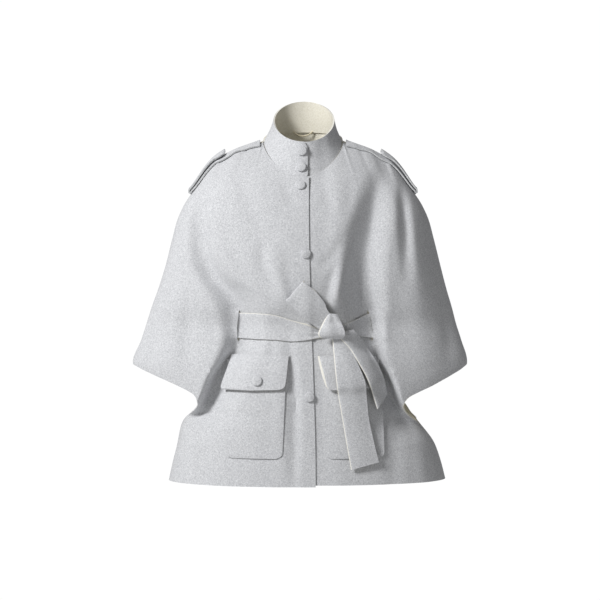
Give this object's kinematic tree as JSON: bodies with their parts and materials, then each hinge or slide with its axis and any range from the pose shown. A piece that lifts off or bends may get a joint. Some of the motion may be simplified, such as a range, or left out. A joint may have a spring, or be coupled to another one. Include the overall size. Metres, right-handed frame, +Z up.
{
  "type": "wool cape coat",
  "caption": "Hollow worn wool cape coat with wing sleeves, stand collar, shoulder straps, flapped patch pockets and a tie belt threaded through slits in the fronts.",
  "frame": {"origin": "base of the neck at the shoulder points' level, where the wearer carries the coat", "axes": "+Z up, -Y the front of the coat, +X the wearer's left"},
  "size_m": [0.668, 0.2754, 0.7628],
  "materials": {
    "front_right": "brushed double-faced wool, matt",
    "front_left": "brushed double-faced wool, matt",
    "back": "brushed double-faced wool, matt",
    "collar": "brushed double-faced wool, matt",
    "collar_button_1": "brushed double-faced wool, matt",
    "collar_button_2": "brushed double-faced wool, matt",
    "strap_right": "brushed double-faced wool, matt",
    "strap_left": "brushed double-faced wool, matt",
    "front_button_1": "brushed double-faced wool, matt",
    "front_button_2": "brushed double-faced wool, matt",
    "front_button_3": "brushed double-faced wool, matt",
    "front_button_4": "brushed double-faced wool, matt",
    "pocket_right": "brushed double-faced wool, matt",
    "pocket_left": "brushed double-faced wool, matt",
    "flap_right": "brushed double-faced wool, matt",
    "flap_left": "brushed double-faced wool, matt",
    "flap_button_right": "brushed double-faced wool, matt",
    "flap_button_left": "brushed double-faced wool, matt",
    "belt_band": "brushed double-faced wool, matt",
    "belt_knot": "brushed double-faced wool, matt",
    "belt_loop": "brushed double-faced wool, matt",
    "belt_tail_long": "brushed double-faced wool, matt",
    "belt_tail_short": "brushed double-faced wool, matt",
    "hanging_loop": "twisted cord"
  },
  "bodies": {
    "root": {"front_right": "front_right", "front_left": "front_left", "back": "back", "collar": "collar", "collar_button_1": "collar_button_1", "collar_button_2": "collar_button_2", "strap_right": "strap_right", "strap_left": "strap_left", "front_button_1": "front_button_1", "front_button_2": "front_button_2", "front_button_3": "front_button_3", "front_button_4": "front_button_4", "pocket_right": "pocket_right", "pocket_left": "pocket_left", "flap_right": "flap_right", "flap_left": "flap_left", "flap_button_right": "flap_button_right", "flap_button_left": "flap_button_left", "belt_band": "belt_band", "belt_knot": "belt_knot", "belt_loop": "belt_loop", "belt_tail_long": "belt_tail_long", "belt_tail_short": "belt_tail_short", "hanging_loop": "hanging_loop"}
  },
  "joints": []
}
